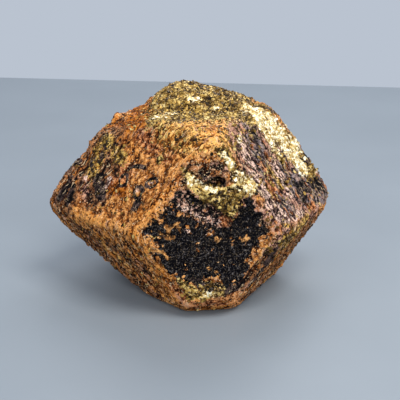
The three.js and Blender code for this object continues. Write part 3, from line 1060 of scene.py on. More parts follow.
    @staticmethod
    def _lay(
        skin: Textures, layers: Iterable[Layer], below: Wire, shown: dict[Zone, Wire]
    ) -> Wire:
        """Lays finishes over a colour, one after another.

        Args:
            skin: The crust's textures.
            layers: The finishes.
            below: The colour below them.
            shown: Takes how much of each finish shows, by its zone.

        Returns:
            The colour on top.
        """
        graph, stains = skin.graph, towards(skin.wrap, skin.clouds, skin.streaks)
        wander = 0.4 * skin.clots + 0.25 * skin.grains + 0.35 * stains - LEVEL
        for layer in layers:
            depth = graph.attribute(layer.zone.value) + layer.ragged * wander
            shown[layer.zone] = graph.edge(depth, -layer.soft, layer.soft)
            below = graph.blend(shown[layer.zone], below, skin.toned(layer.tones))
        return below

    def _embers(self, skin: Textures, below: Wire) -> Wire:
        """Scatters small orange and plum stains over a colour.

        Args:
            skin: The crust's textures.
            below: The colour below them.

        Returns:
            The colour with the stains in it.
        """
        graph = skin.graph
        embers = towards(skin.wrap, *skin.mirrored(MIRROR_X, self.ember_size, 1.2, 2.0))
        colour = graph.blend(0.7 * graph.edge(embers, 0.62, 0.82), below, skin.toned(ORANGE))
        return graph.blend(0.6 * graph.edge(embers, 0.32, 0.14), colour, skin.toned(PLUM))

    @staticmethod
    def _garnet(skin: Textures) -> Wire:
        """Colours bare garnet, with fine light threads.

        Args:
            skin: The crust's textures.

        Returns:
            The bare garnet's colour.
        """
        threads = skin.graph.threads(skin.place, 0.8, 0.1)
        # The lift paints shade into the gaps of the bare garnet as well.
        light = 0.4 * threads + 0.35 * skin.grains + 0.3 * skin.fine + 0.7 * skin.lift
        return skin.graph.ramp(skin.graph.spread(light, 0.3, 0.95), BARE.stops())

    def _specks_and_painted_glints(
        self, skin: Textures, below: Wire, bare: Wire, shown: dict[Zone, Wire]
    ) -> Wire:
        """Peppers a colour with dark specks and lays painted glints over it: light specks that stand
        in for highlights.

        Args:
            skin: The crust's textures.
            below: The colour below them.
            bare: Where garnet lies bare.
            shown: How much of each finish shows, by its zone.

        Returns:
            The colour with the dark specks and the painted glints in it.
        """
        graph = skin.graph
        clean = shown[Zone.PALE_AND_GLINTS].high(shown[Zone.ORANGE]).high(0.7 * skin.smooth)
        pepper = graph.edge(graph.noise(skin.place, self.speck_size, 1.0), 0.3, 0.12)
        colour = graph.blend(0.7 * pepper * (1 - 0.6 * clean), below, DARK_SPECK)
        # Painted glints: light specks that stand in for the sparkle of highlights, fewer on bare
        # garnet and on orange crust.
        painted_glints = towards(0.85 * skin.wrap, *skin.mirrored(MIRROR_Z, 0.22, 0.4, 1.0))
        painted_glints = graph.edge(painted_glints, 0.72, 0.88) * (0.55 - 0.46 * bare) * (1 - 0.6 * shown[Zone.ORANGE])
        return graph.blend(painted_glints, colour, PAINTED_GLINT)


@dataclass(frozen=True)
class ScaleFinish:
    """Thin mica scales, cream to dark olive brown, with the shine of cleaved mica.

    Attributes:
        name: Name of the material.
        metallic: How metallic their shine is.
        roughness: Roughness where they are smoothest.
        dulling: How much rougher they are where they are dullest.
        cloud_size: Size of the clouds on a scale, in mm.
        drift_size: Size of the drifts of lighter and darker scales, in mm.
        bump_depth: Depth of their relief, in mm.
    """

    name: str = "mica scales"
    metallic: float = 0.3
    roughness: float = 0.24
    dulling: float = 0.22
    cloud_size: float = 0.3
    drift_size: float = 2.2
    bump_depth: float = 0.02

    def build(self) -> bpy.types.Material:
        """Makes the material.

        Returns:
            The material of the mica scales.
        """
        graph = Graph(self.name)
        place = graph.millimetres()
        cloud = graph.noise(place, self.cloud_size)
        drifts = graph.noise(place, self.drift_size)
        pale = graph.edge(graph.attribute(Zone.PALE_AND_GLINTS.value) + drifts - LEVEL, -0.2, 0.3)
        dark = graph.edge(graph.attribute(Zone.DARK.value) + drifts - LEVEL, -0.2, 0.4)
        light = 0.6 * graph.attribute("tint") + 0.12 * cloud + 0.34 * drifts
        # Scales in the pale zone are lighter: pale mica, with painted glare and glints.
        light = light + 0.42 * pale - 0.24 * dark
        return graph.finish({
            "Base Color": graph.ramp(graph.spread(light, 0.1, 1.12), SCALE_STOPS),
            "Roughness": self.roughness + self.dulling * cloud,
            "Metallic": self.metallic,
            "Specular IOR Level": 0.25,
            "Normal": graph.bump(cloud, self.bump_depth * MM, 0.5),
        })


Finish = Union[CrustFinish, ScaleFinish]


@dataclass(frozen=True)
class FloorFinish:
    """A plain pale board with a faint mottle and a soft sheen.

    Attributes:
        first: The one colour of the mottle.
        second: The other.
        mottle_size: Size of the mottle, in mm.
        roughness: Roughness of the board.
    """

    first: Shade = (124, 132, 140)
    second: Shade = (129, 137, 145)
    mottle_size: float = 30.0
    roughness: float = 0.42

    def build(self) -> bpy.types.Material:
        """Makes the material.

        Returns:
            The floor's material.
        """
        graph = Graph("pale board")
        mottle = graph.noise(graph.millimetres(), self.mottle_size, 3.0)
        return graph.finish({
            "Base Color": graph.blend(mottle, srgb(*self.first), srgb(*self.second)),
            "Roughness": self.roughness + 0.04 * mottle,
            "Specular IOR Level": 0.3,
        })


# ---------------------------------------------------------------- meshes


def deselect_all() -> None:
    """Leaves edit mode and deselects everything."""
    if bpy.context.object is not None and bpy.context.object.mode != "OBJECT":
        bpy.ops.object.mode_set(mode="OBJECT")
    bpy.ops.object.select_all(action="DESELECT")


def make_active(piece: bpy.types.Object) -> None:
    """Makes one object the only selected one, and the active one.

    Args:
        piece: The object.
    """
    deselect_all()
    piece.select_set(True)
    bpy.context.view_layer.objects.active = piece


def vectors(elements: Any, key: str) -> np.ndarray:
    """Reads one vector of each element of a mesh.

    Args:
        elements: The mesh's vertices, or their normals.
        key: What to read of each.

    Returns:
        The vectors, one a row.
    """
    flat = np.empty(len(elements) * 3, np.float32)
    elements.foreach_get(key, flat)
    return flat.reshape(-1, 3).astype(float)


def vertex_points(piece: bpy.types.Object) -> np.ndarray:
    """The vertices of a mesh, in mm, one a row."""
    return vectors(piece.data.vertices, "co") / MM


def vertex_normals(piece: bpy.types.Object) -> np.ndarray:
    """The vertex normals of a mesh, one a row."""
    return vectors(piece.data.vertex_normals, "vector")


def write_attribute(piece: bpy.types.Object, name: str, values: np.ndarray) -> None:
    """Stores one value a vertex, for the material to read."""
    attribute = piece.data.attributes.new(name, "FLOAT", "POINT")
    attribute.data.foreach_set("value", values.astype(np.float32))


def read_attribute(piece: bpy.types.Object, name: str) -> np.ndarray:
    """Reads one value a vertex.

    Args:
        piece: The mesh.
        name: Name of the attribute.

    Returns:
        Its values, in the order of the vertices.
    """
    values = np.empty(len(piece.data.vertices), np.float32)
    piece.data.attributes[name].data.foreach_get("value", values)
    return values


class Pattern(Enum):
    """The textures that press relief into the skin."""

    CLOUDS = "CLOUDS"
    GRAINS = "VORONOI"


class Area(Enum):
    """The parts of the skin that a relief is pressed into, by vertex group."""

    FREE = "free"
    WRAP = "wrap"
    CRUST = "crust"
    MICA = "mica"
    BARE = "bare"
    FOOT = "foot"
    HOLLOW = "hollow"
    DENT = "dent"
    KNOB = "knob"


@dataclass(frozen=True)
class Relief:
    """One layer of relief.

    Attributes:
        name: What it is.
        pattern: Its texture.
        area: Where it is pressed in.
        size: Its size along x, y and z, in mm.
        height: From its lowest to its highest, in mm.
        detail: Number of finer layers in a cloud texture.
        middle: The texture value that leaves the skin where it is.
    """

    name: str
    pattern: Pattern
    area: Area
    size: Triple
    height: float
    detail: int = 2
    middle: float = 0.5

    def press(self, piece: bpy.types.Object) -> None:
        """Presses this layer into a piece.

        Args:
            piece: The mesh, with its vertex groups.
        """
        texture = bpy.data.textures.new(self.name, self.pattern.value)
        texture.noise_scale = 1.0
        if self.pattern is Pattern.CLOUDS:
            texture.noise_depth = self.detail
        guide = bpy.data.objects.new(f"{self.name} guide", None)
        bpy.context.scene.collection.objects.link(guide)
        guide.scale = Vector(self.size) * MM
        bpy.context.view_layer.update()
        make_active(piece)
        modifier = piece.modifiers.new(self.name, "DISPLACE")
        modifier.texture = texture
        modifier.texture_coords = "OBJECT"
        modifier.texture_coords_object = guide
        modifier.vertex_group = self.area.value
        modifier.strength = self.height * MM
        modifier.mid_level = self.middle
        bpy.ops.object.modifier_apply(modifier=modifier.name)
        bpy.data.objects.remove(guide)
        bpy.data.textures.remove(texture)


# The layers of relief, from the first pressed in to the last.
RELIEFS: tuple[Relief, ...] = (
    Relief("worn dents", Pattern.CLOUDS, Area.DENT, (4.0, 4.0, 4.0), -1.5, middle=0.0),
    Relief("swell", Pattern.CLOUDS, Area.FREE, (7.0, 7.0, 7.0), 0.8),
    Relief("lumps", Pattern.CLOUDS, Area.CRUST, (2.2, 2.2, 2.2), 0.5),
    Relief("ledges", Pattern.CLOUDS, Area.WRAP, (6.0, 2.0, 6.0), 0.28),
    Relief("streaks", Pattern.CLOUDS, Area.WRAP, (2.4, 0.7, 2.4), 0.24),
    Relief("mica books", Pattern.GRAINS, Area.MICA, (1.1, 1.1, 1.1), -0.5, middle=0.45),
    Relief("crust grains", Pattern.GRAINS, Area.CRUST, (0.85, 0.85, 0.85), -0.25, middle=0.45),
    Relief("pocks", Pattern.CLOUDS, Area.FREE, (0.9, 0.9, 0.9), 0.28, detail=1),
    Relief("knobs", Pattern.CLOUDS, Area.KNOB, (1.0, 1.0, 1.0), 1.5, middle=0.0),
    Relief("bare chips", Pattern.CLOUDS, Area.BARE, (1.1, 1.1, 1.1), 0.45),
    Relief("torn hollow", Pattern.CLOUDS, Area.HOLLOW, (1.5, 1.5, 0.9), 1.3),
)

# Over which depths in its patches an area comes in, from its first trace to its full strength.
MICA_EDGE: Range = (-0.1, 0.2)
BARE_EDGE: Range = (-0.05, 0.2)
CALM_EDGE: Range = (-0.2, 0.5)
HOLLOW_EDGE: Range = (0.0, 0.4)
WORN_EDGE: Range = (0.0, 0.8)
# Depths that hide a zone's finish: but for the tips of its ragged edge, and altogether.
JUST_OUTSIDE = -0.5
WELL_OUTSIDE = -0.6


@dataclass
class CrystalBody:
    """The garnet and what is grown onto it, as one closed skin.

    Attributes:
        weld: Corners of the node closer than this are merged, in mm.
        voxel: Size of the skin's facets, in mm.
        easing: How far a vertex moves each time the skin is smoothed, from 0 to 1.
        smoothing: How many times the skin is smoothed before relief is pressed in.
        foot_height: Over which heights the edges above the resting face are worn round, in mm.
        foot_smoothing: How many times the skin is smoothed there.
        relief_from: Over which heights relief comes in above the resting face, in mm.
        side_turn: Over which turns out of the front and back growth streaks come in.
        top_turn: The turn towards the top or bottom at which they have ended.
        top_fade: Over which part of that turn they fade out.
        calm_share: How far growth streaks fade out in the calm zone.
        bare_share: How far the crust's relief fades out on bare garnet.
        weight_steps: Number of steps in the weights of a vertex group.
        compare_rounds: How often the skin is smoothed to tell grains from gaps.
        rise_span: From the deepest gap to the highest grain, in usual heights of the relief.
        finish: The crystal's finish.
    """

    weld: float = 0.002
    voxel: float = 0.28
    easing: float = 0.5
    smoothing: int = 3
    foot_height: Range = (1.0, 4.0)
    foot_smoothing: int = 40
    relief_from: Range = (0.1, 1.5)
    side_turn: Range = (0.06, 0.17)
    top_turn: float = 0.85
    top_fade: float = 0.2
    calm_share: float = 0.7
    bare_share: float = 0.85
    weight_steps: int = 30
    compare_rounds: int = 14
    rise_span: float = 5.0
    finish: CrustFinish = field(default_factory=CrustFinish)

    def build(self) -> bpy.types.Object:
        """Makes the piece.

        Returns:
            The crystal's body, dressed.
        """
        body = self._copy_of_node()
        self._remesh(body)
        wrap = self._mark_areas(body)
        self._smooth(body, "worn foot", self.foot_smoothing, Area.FOOT.value)
        for relief in RELIEFS:
            relief.press(body)
        self._flatten_resting_face(body)
        body.vertex_groups.clear()
        self._write_attributes(body, wrap)
        body.data.materials.clear()
        body.data.materials.append(self.finish.build())
        make_active(body)
        bpy.ops.object.shade_smooth()
        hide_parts(NODE)
        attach(body, BODY)
        log.info("%s: %d faces", body.name, len(body.data.polygons))
        return body

    def _copy_of_node(self) -> bpy.types.Object:
        """Copies the CAD node.

        Returns:
            The copy, as one merged mesh, active.
        """
        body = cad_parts[NODE].copy()
        body.data = body.data.copy()
        body.name = "crystal_body"
        for key in list(body.keys()):
            del body[key]
        body.parent = None
        bpy.context.scene.collection.objects.link(body)
        make_active(body)
        bpy.ops.object.mode_set(mode="EDIT")
        bpy.ops.mesh.select_all(action="SELECT")
        bpy.ops.mesh.remove_doubles(threshold=self.weld * MM)
        bpy.ops.mesh.normals_make_consistent(inside=False)
        bpy.ops.object.mode_set(mode="OBJECT")
        return body

    def _remesh(self, body: bpy.types.Object) -> None:
        """Gives the body an even skin, with its sharpest edges softened.

        Args:
            body: The body.
        """
        remesh = body.modifiers.new("even skin", "REMESH")
        remesh.mode = "VOXEL"
        remesh.voxel_size = self.voxel * MM
        remesh.use_smooth_shade = True
        bpy.ops.object.modifier_apply(modifier=remesh.name)
        self._smooth(body, "soften", self.smoothing, "")

    def _smooth(self, body: bpy.types.Object, name: str, rounds: int, group: str) -> None:
        """Smooths the skin.

        Args:
            body: The body.
            name: What is done.
            rounds: How many times.
            group: The vertex group where it is done, or nothing for the whole skin.
        """
        smooth = body.modifiers.new(name, "SMOOTH")
        smooth.factor = self.easing
        smooth.iterations = rounds
        smooth.vertex_group = group
        bpy.ops.object.modifier_apply(modifier=smooth.name)

    def _mark_areas(self, body: bpy.types.Object) -> np.ndarray:
        """Makes the vertex groups that say where each relief goes.

        Args:
            body: The body.

        Returns:
            How streaked each vertex is, from 0 to 1.
        """
        points, normals = vertex_points(body), vertex_normals(body)
        depths = zone_depths(points)
        lift = soft_step(points[:, 2], *self.relief_from)
        wrap = self._streaked(normals, depths)
        mica = soft_step(np.maximum(depths[Zone.MICA], depths[Zone.PALE_AND_GLINTS]), *MICA_EDGE)
        bare = soft_step(depths[Zone.BARE], *BARE_EDGE)
        areas = {
            Area.FREE: lift,
            Area.WRAP: lift * wrap * (1 - bare),
            Area.CRUST: lift * (1 - self.bare_share * bare),
            Area.MICA: lift * mica,
            Area.BARE: lift * bare,
            Area.FOOT: 1 - soft_step(points[:, 2], *self.foot_height),
            Area.HOLLOW: soft_step(HOLLOW.depth(points), *HOLLOW_EDGE),
            Area.DENT: soft_step(deepest(DENTS, points), *WORN_EDGE),
            Area.KNOB: soft_step(deepest(KNOBS, points), *WORN_EDGE),
        }
        for area, weights in areas.items():
            self._make_group(body, area, weights)
        return wrap

    def _streaked(self, normals: np.ndarray, depths: dict[Zone, np.ndarray]) -> np.ndarray:
        """Finds where growth streaks run: round the sides, not on front, back, top and bottom.

        Args:
            normals: The vertex normals, one a row.
            depths: How deep each vertex lies in each zone.

        Returns:
            How streaked each vertex is, from 0 to 1.
        """
        wrap = soft_step(1 - np.abs(normals[:, 1]), *self.side_turn)
        wrap *= soft_step(self.top_turn - np.abs(normals[:, 2]), 0.0, self.top_fade)
        return wrap * (1 - self.calm_share * soft_step(depths[Zone.CALM], *CALM_EDGE))

    def _make_group(self, body: bpy.types.Object, area: Area, weights: np.ndarray) -> None:
        """Makes a vertex group, with its weights in steps.

        Args:
            body: The body.
            area: The area that the group marks.
            weights: Its weights, one a vertex.
        """
        group = body.vertex_groups.new(name=area.value)
        steps = np.round(weights * self.weight_steps).astype(int)
        for step in range(1, self.weight_steps + 1):
            members = np.nonzero(steps == step)[0]
            if len(members):
                group.add(members.tolist(), step / self.weight_steps, "REPLACE")

    @staticmethod
    def _flatten_resting_face(body: bpy.types.Object) -> None:
        """Presses what hangs below the resting face back onto it.

        Args:
            body: The body, with all its relief.
        """
        points = vertex_points(body)
        points[:, 2] = np.maximum(points[:, 2], 0.0)
        body.data.vertices.foreach_set("co", (points * MM).astype(np.float32).ravel())
        body.data.update()

    def _write_attributes(self, body: bpy.types.Object, wrap: np.ndarray) -> None:
        """Stores the zones, the streaked sides, and the height above the skin round about, which the
        finish paints as shade and light.

        Args:
            body: The body, with all its relief.
            wrap: How streaked each vertex is.
        """
        points = vertex_points(body)
        depths = zone_depths(points)
        depths[Zone.PINK] = np.where(depths[Zone.BARE] > 0.1, JUST_OUTSIDE, depths[Zone.PINK])
        for zone, depth in depths.items():
            write_attribute(body, zone.value, depth)
        write_attribute(body, "wrap", wrap)
        # The relief becomes painted shade in the gaps and painted light on the tops.
        write_attribute(body, "relief", self._relief_for_painted_shade(body, points))
        write_attribute(body, "tint", np.full(len(points), LEVEL))

    def _relief_for_painted_shade(self, body: bpy.types.Object, points: np.ndarray) -> np.ndarray:
        """How far each vertex stands above the smoothed skin, for the painted shade in the gaps and
        painted light on the tops.

        Args:
            body: The body, with all its relief.
            points: Its vertices, in mm.

        Returns:
            0 in the deepest gaps, 0.5 on the level and 1 on the highest grains.
        """
        edges = np.empty(len(body.data.edges) * 2, np.int32)
        body.data.edges.foreach_get("vertices", edges)
        first, second = edges.reshape(-1, 2).T
        ends, others = np.concatenate([first, second]), np.concatenate([second, first])
        count = np.bincount(ends, minlength=len(points))
        smooth = points.copy()
        for _ in range(self.compare_rounds):
            sums = [np.bincount(ends, smooth[others, axis], len(points)) for axis in range(3)]
            smooth = np.stack(sums, axis=1) / count[:, None]
        rise = ((points - smooth) * vertex_normals(body)).sum(axis=1)
        return np.clip(LEVEL + rise / (self.rise_span * rise.std()), 0, 1)


# Over which depths in its patches a zone's flakes come in, and those of bare garnet thin out.
FLAKE_EDGE: Range = (-0.12, 0.15)
BARE_FLAKE_EDGE: Range = (-0.1, 0.15)
# The same where flakes gather: inside the bare garnet, and round the zone they gather at.
IN_BARE_EDGE: Range = (0.0, 0.2)
GATHER_EDGE: Range = (-1.0, 0.3)
# Over which depths of mica or pink crust the garnet below no longer counts as bare.
COVER_EDGE: Range = (-0.3, 0.2)


@dataclass
class Flakes:
    """Small flakes that lie in and on the skin, as one joined mesh.

    Attributes:
        name: What they are.
        finish: Their finish.
        lies_on: How thickly they lie in each zone, beside the share that they have anywhere.
        anywhere: How thickly they lie outside those zones.
        on_bare: The share of that which lies on bare garnet.
        is_garnet: Whether the flakes are garnet themselves.
        gathers_at: A zone round which more of them lie on the bare garnet.
        count: How many flakes there are.
        across: Smallest and largest length of a flake, in mm.
        slim: Smallest and largest width of a flake, as a share of its length.
        thickness: Thickness of a flake, as a share of its length.
        taper: Width of its upper side, as a share of its lower side.
        lean: Largest tilt of a flake out of the skin, in degrees.
        stray: How far flakes on the streaked sides turn out of the streaks, in degrees.
        any_way: How far the others turn out of that direction, as a tangent.
        scatter: How far flakes stray over the edges of their zones, in mm.
        foot: Over which heights they come in above the resting face, in mm.
        clearance: How far above the resting face their corners stay, in mm.
        relief: How far they stand out of the skin, for their finish's painted shade and light: 0.5
            is level with it.
        sides: Number of corners of a flake's outline.
        seed: Start of the random draws.
    """

    name: str
    finish: Finish
    lies_on: dict[Zone, float]
    anywhere: float = 0.02
    on_bare: float = 0.012
    is_garnet: bool = False
    gathers_at: Zone | None = None
    count: int = 9000
    across: Range = (0.3, 0.85)
    slim: Range = (0.55, 1.0)
    thickness: float = 0.1
    taper: float = 0.8
    lean: float = 50.0
    stray: float = 32.0
    any_way: float = 5.0
    scatter: float = 0.3
    foot: Range = (0.3, 1.5)
    clearance: float = 0.02
    relief: float = 0.6
    sides: int = 5
    seed: int = 11

    def build(self, body: bpy.types.Object) -> bpy.types.Object:
        """Makes the piece.

        Args:
            body: The crystal's body, on which the flakes lie.

        Returns:
            All the flakes as one mesh.
        """
        corners, faces = self._one_flake()
        draw = np.random.default_rng(self.seed)
        points, normals = vertex_points(body), vertex_normals(body)
        share = self._share(points + draw.normal(0, self.scatter, points.shape))
        chosen = draw.choice(len(points), self.count, replace=False, p=share / share.sum())
        shortest, longest = self.across
        lengths = shortest + (longest - shortest) * draw.uniform(0, 1, self.count) ** 2
        wrap = read_attribute(body, "wrap")[chosen]
        axes = self._axes(normals[chosen], wrap, draw)
        tint = draw.uniform(0, 1, self.count)
        placed = np.einsum("nij,kj->nki", axes, corners) * lengths[:, None, None]
        placed += points[chosen][:, None, :]
        placed[:, :, 2] = np.maximum(placed[:, :, 2], self.clearance)
        flakes = self._joined(placed, faces)
        depths = self._own_depths(points[chosen])
        values = {zone.value: depth for zone, depth in depths.items()}
        values |= {"wrap": wrap, "relief": np.full(self.count, self.relief), "tint": tint}
        for name, value in values.items():
            write_attribute(flakes, name, np.repeat(value, len(corners)))
        flakes.data.materials.append(self.finish.build())
        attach(flakes, BODY)
        log.info("%s: %d flakes, %d faces", flakes.name, self.count, len(flakes.data.polygons))
        return flakes

    def _joined(self, placed: np.ndarray, faces: list[tuple[int, ...]]) -> bpy.types.Object:
        """Joins flakes in one mesh.

        Args:
            placed: The corners of each flake, in mm.
            faces: The faces of one flake.

        Returns:
            The joined flakes.
        """
        starts = range(0, placed.shape[0] * placed.shape[1], placed.shape[1])
        shifted = [tuple(start + corner for corner in face) for start in starts for face in faces]
        mesh = bpy.data.meshes.new(self.name)
        mesh.from_pydata((placed.reshape(-1, 3) * MM).tolist(), [], shifted)
        flakes = bpy.data.objects.new(self.name, mesh)
        bpy.context.scene.collection.objects.link(flakes)
        return flakes

    def _own_depths(self, points: np.ndarray) -> dict[Zone, np.ndarray]:
        """The zones' depths as the flakes' finish reads them, so that they keep their own look.

        Args:
            points: Where the flakes lie, in mm, one a row.

        Returns:
            For each zone, its depth at each flake.
        """
        depths = zone_depths(points)
        if not self.is_garnet:
            depths[Zone.BARE] = np.minimum(depths[Zone.BARE], WELL_OUTSIDE)
        if self.gathers_at is not None:
            depths[self.gathers_at] = np.minimum(depths[self.gathers_at], WELL_OUTSIDE)
        return depths

    def _share(self, points: np.ndarray) -> np.ndarray:
        """How likely a flake is to lie at each point.

        Args:
            points: Points in mm, one a row.

        Returns:
            How thickly flakes lie there, in the measure of lies_on.
        """
        depths = zone_depths(points)
        share = np.full(len(points), self.anywhere)
        for zone, weight in self.lies_on.items():
            inside = soft_step(depths[zone], *FLAKE_EDGE)
            share = share * (1 - inside) + weight * inside
        if self.gathers_at is not None:
            near = soft_step(depths[self.gathers_at], *GATHER_EDGE)
            share += soft_step(depths[Zone.BARE], *IN_BARE_EDGE) * near
        if self.on_bare < 1:
            covered = np.maximum(depths[Zone.MICA], depths[Zone.PINK])
            bare = soft_step(depths[Zone.BARE], *BARE_FLAKE_EDGE)
            bare *= 1 - soft_step(covered, *COVER_EDGE)
            share *= 1 - (1 - self.on_bare) * bare
        return share * soft_step(points[:, 2], *self.foot)

    def _one_flake(self) -> tuple[np.ndarray, list[tuple[int, ...]]]:
        """Models one flake by hand.

        Returns:
            Its corners, 1 across and centred, and its faces, sorted so that each run gives the same.
        """
        deselect_all()
        bpy.ops.mesh.primitive_circle_add(vertices=self.sides, radius=0.5, fill_type="NGON")
        flake = bpy.context.object
        bpy.ops.object.mode_set(mode="EDIT")
        bpy.ops.mesh.select_all(action="SELECT")
        rise = (0.0, 0.0, self.thickness)
        bpy.ops.mesh.extrude_region_move(TRANSFORM_OT_translate={"value": rise})
        bpy.ops.transform.resize(value=(self.taper, self.taper, 1.0))
        bpy.ops.mesh.select_all(action="SELECT")
        bpy.ops.mesh.normals_make_consistent(inside=False)
        bpy.ops.object.mode_set(mode="OBJECT")
        corners = vertex_points(flake) * MM
        faces = sorted(tuple(face.vertices) for face in flake.data.polygons)
        bpy.data.objects.remove(flake)
        return corners, faces

    def _axes(
        self, normals: np.ndarray, wrap: np.ndarray, draw: np.random.Generator
    ) -> np.ndarray:
        """Turns each flake: along the streaks where there are any, and out of the skin.

        Args:
            normals: The skin's normals where the flakes lie.
            wrap: How streaked the skin is there.
            draw: The source of chance.

        Returns:
            One 3 by 3 turn for each flake, with its axes as columns.
        """
        count = len(normals)
        loose = draw.normal(size=(count, 3))
        lean = np.tan(np.radians(self.lean)) * draw.uniform(0, 1, count) ** 1.5
        side = loose - (loose * normals).sum(1, keepdims=True) * normals
        side /= np.linalg.norm(side, axis=1, keepdims=True)
        up = normals + side * lean[:, None]
        up /= np.linalg.norm(up, axis=1, keepdims=True)
        streak = np.cross(normals, (0.0, 1.0, 0.0))
        stray = math.tan(math.radians(self.stray))
        wander = self.any_way + (stray - self.any_way) * wrap[:, None]
        long_axis = streak + draw.normal(size=(count, 3)) * wander
        long_axis -= (long_axis * up).sum(1, keepdims=True) * up
        long_axis /= np.linalg.norm(long_axis, axis=1, keepdims=True)
        width = draw.uniform(*self.slim, count)[:, None]
        return np.stack([long_axis, np.cross(up, long_axis) * width, up], axis=2)


# How thickly the crust's flakes lie where there is less crust.
CRUST_PLACES: dict[Zone, float] = {Zone.CALM: 0.4, Zone.MICA: 0.12, Zone.PALE_AND_GLINTS: 0.25, Zone.INK: 0.2}
SCALE_PLACES: dict[Zone, float] = {Zone.OLIVE: 0.2, Zone.HONEY: 0.2, Zone.MICA: 1.0, Zone.PALE_AND_GLINTS: 1.0}
FLAKES: tuple[Flakes, ...] = (
    Flakes(
        "crust_flakes", CrustFinish(name="crust flakes"), CRUST_PLACES, anywhere=1.0,
        count=12000, across=(0.3, 0.85), slim=(0.3, 0.7), thickness=0.12, lean=18.0, seed=5,
    ),
    Flakes(
        "crust_chips", CrustFinish(name="crust chips"), CRUST_PLACES, anywhere=1.0, on_bare=0.006,
        count=12000, across=(0.2, 0.5), slim=(0.3, 0.8), thickness=0.2, lean=30.0, seed=7,
    ),
    Flakes(
        "mica_scales", ScaleFinish(), SCALE_PLACES, anywhere=0.015,
        count=11000, across=(0.3, 0.9), lean=55.0, scatter=0.45, seed=11,
    ),
    Flakes(
        "garnet_splinters", CrustFinish(name="garnet splinters", roughness=0.7), {Zone.BARE: 1.0},
        anywhere=0.0, on_bare=1.0, is_garnet=True,
        count=2600, across=(0.35, 1.3), slim=(0.14, 0.3), lean=30.0, sides=4, seed=23,
    ),
    Flakes(
        "clinging_chips", CrustFinish(name="clinging chips"), {Zone.BARE: 0.02},
        anywhere=0.0, on_bare=1.0, gathers_at=Zone.PINK,
        count=100, across=(0.4, 1.2), slim=(0.35, 0.7), thickness=0.14, lean=14.0, sides=4, seed=31,
    ),
)


# ---------------------------------------------------------------- studio


@dataclass(frozen=True)
class Softbox:
    """A soft light aimed at the crystal.

    Attributes:
        name: What it is.
        azimuth: Where it stands, in degrees round from the front, to the right.
        elevation: How high it stands, in degrees.
        distance: How far off it stands, in mm.
        size: Its width, in mm.
        power: Its power, in watts.
        colour: Its colour.
    """

    name: str
    azimuth: float
    elevation: float
    distance: float
    size: float
    power: float
    colour: Triple

    def place(self, target: Vector) -> None:
        """Puts the light up.

        Args:
            target: What it is aimed at.
        """
        data = bpy.data.lights.new(self.name, "AREA")
        data.size = self.size * MM
        data.energy = self.power
        data.color = self.colour
        light = bpy.data.objects.new(self.name, data)
        bpy.context.scene.collection.objects.link(light)
        light.visible_camera = False
        axes, away = view_axes(self.azimuth, self.elevation, 0.0)
        light.matrix_world = Matrix.Translation(target + away * self.distance * MM) @ axes


LIGHTS: tuple[Softbox, ...] = (
    Softbox("key", 30.0, 60.0, 420.0, 200.0, 1.6, (1.0, 0.97, 0.92)),
    Softbox("fill", -55.0, 30.0, 420.0, 260.0, 0.3, (1.0, 0.98, 0.95)),
    Softbox("front", 5.0, 24.0, 480.0, 160.0, 0.9, (1.0, 0.98, 0.94)),
    Softbox("back", 160.0, 50.0, 420.0, 240.0, 0.8, (0.95, 0.97, 1.0)),
)


def view_axes(azimuth: float, elevation: float, roll: float) -> tuple[Matrix, Vector]:
    """The axes of something that looks back at the crystal.

    Args:
        azimuth: Degrees round from the front, to the right.
        elevation: Degrees above level.
        roll: Degrees of turn about its own line of sight.

    Returns:
        Its turn, and the direction from the crystal to it.
    """
    turn, rise = math.radians(azimuth), math.radians(elevation)
    level = math.cos(rise)
    away = Vector((math.sin(turn) * level, -math.cos(turn) * level, math.sin(rise)))
    right = Vector((math.cos(turn), math.sin(turn), 0))
    up = away.cross(right)
    axes = Matrix((right, up, away)).transposed().to_4x4()
    return axes @ Matrix.Rotation(math.radians(roll), 4, "Z"), away


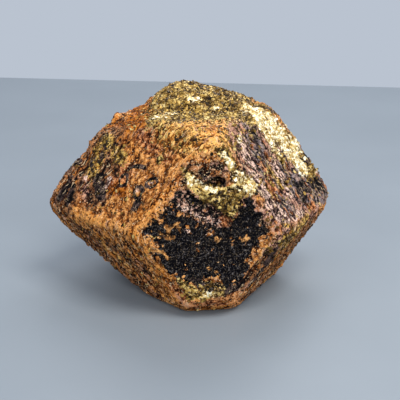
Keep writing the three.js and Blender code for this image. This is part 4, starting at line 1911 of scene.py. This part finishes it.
@dataclass(frozen=True)
class Studio:
    """Floor, lights and camera.

    Attributes:
        target: The point that the camera and the lights are aimed at, in mm.
        azimuth: Where the camera stands, in degrees round from the front, to the right.
        elevation: How high it stands, in degrees.
        roll: Its turn about its own line of sight, in degrees.
        distance: How far off it stands, in mm.
        lens: Length of its lens, in mm.
        sensor: Width of its sensor, in mm.
        nearest: The nearest thing it sees, in mm.
        floor_size: Width and depth of the board, in mm.
        floor_turn: Turn of the board, in degrees.
        floor_back: How far behind the crystal it ends, in mm.
        room: Colour of the room's even light.
        floor: The board's finish.
    """

    target: Triple = (1.2, 0.0, 14.9)
    azimuth: float = -9.0
    elevation: float = 17.5
    roll: float = 0.7
    distance: float = 170.0
    lens: float = 87.5
    sensor: float = 36.0
    nearest: float = 10.0
    floor_size: float = 1000.0
    floor_turn: float = -13.0
    floor_back: float = 190.0
    room: Shade = (186, 195, 208)
    floor: FloorFinish = field(default_factory=FloorFinish)

    def build(self) -> None:
        """Puts up the floor, the lights and the camera."""
        self._lay_floor()
        self._set_camera()
        self._light_room()
        for light in LIGHTS:
            light.place(Vector(self.target) * MM)
        log.info("studio: floor, %d lights and camera", len(LIGHTS))

    def _lay_floor(self) -> None:
        """Lays a pale board under the crystal."""
        deselect_all()
        turn, size = math.radians(self.floor_turn), self.floor_size * MM
        middle = Vector((0.0, self.floor_back * MM - size / 2, 0.0))
        middle.rotate(Matrix.Rotation(turn, 3, "Z"))
        bpy.ops.mesh.primitive_plane_add(size=size, location=middle, rotation=(0.0, 0.0, turn))
        board = bpy.context.object
        bpy.ops.object.transform_apply(location=True, rotation=True, scale=False)
        board.name = "floor"
        board.data.materials.append(self.floor.build())

    def _set_camera(self) -> None:
        """Sets the camera on its tripod."""
        data = bpy.data.cameras.new("camera")
        data.lens = self.lens
        data.sensor_width = self.sensor
        data.clip_start = self.nearest * MM
        camera = bpy.data.objects.new("camera", data)
        bpy.context.scene.collection.objects.link(camera)
        axes, away = view_axes(self.azimuth, self.elevation, self.roll)
        place = Vector(self.target) * MM + away * self.distance * MM
        camera.matrix_world = Matrix.Translation(place) @ axes
        bpy.context.scene.camera = camera

    def _light_room(self) -> None:
        """Fills the room with weak even light."""
        world = bpy.data.worlds.new("room")
        world.use_nodes = True
        back = world.node_tree.nodes["Background"]
        back.inputs["Color"].default_value = srgb(*self.room)
        back.inputs["Strength"].default_value = 1.0
        bpy.context.scene.world = world


def main() -> None:
    """Builds the crystal's looks and the studio round it."""
    logging.basicConfig(level=logging.INFO, format="%(name)s: %(message)s")
    body = CrystalBody().build()
    for flakes in FLAKES:
        flakes.build(body)
    Studio().build()
    bpy.context.scene.view_settings.view_transform = "Standard"


if __name__ == "__main__":
    main()
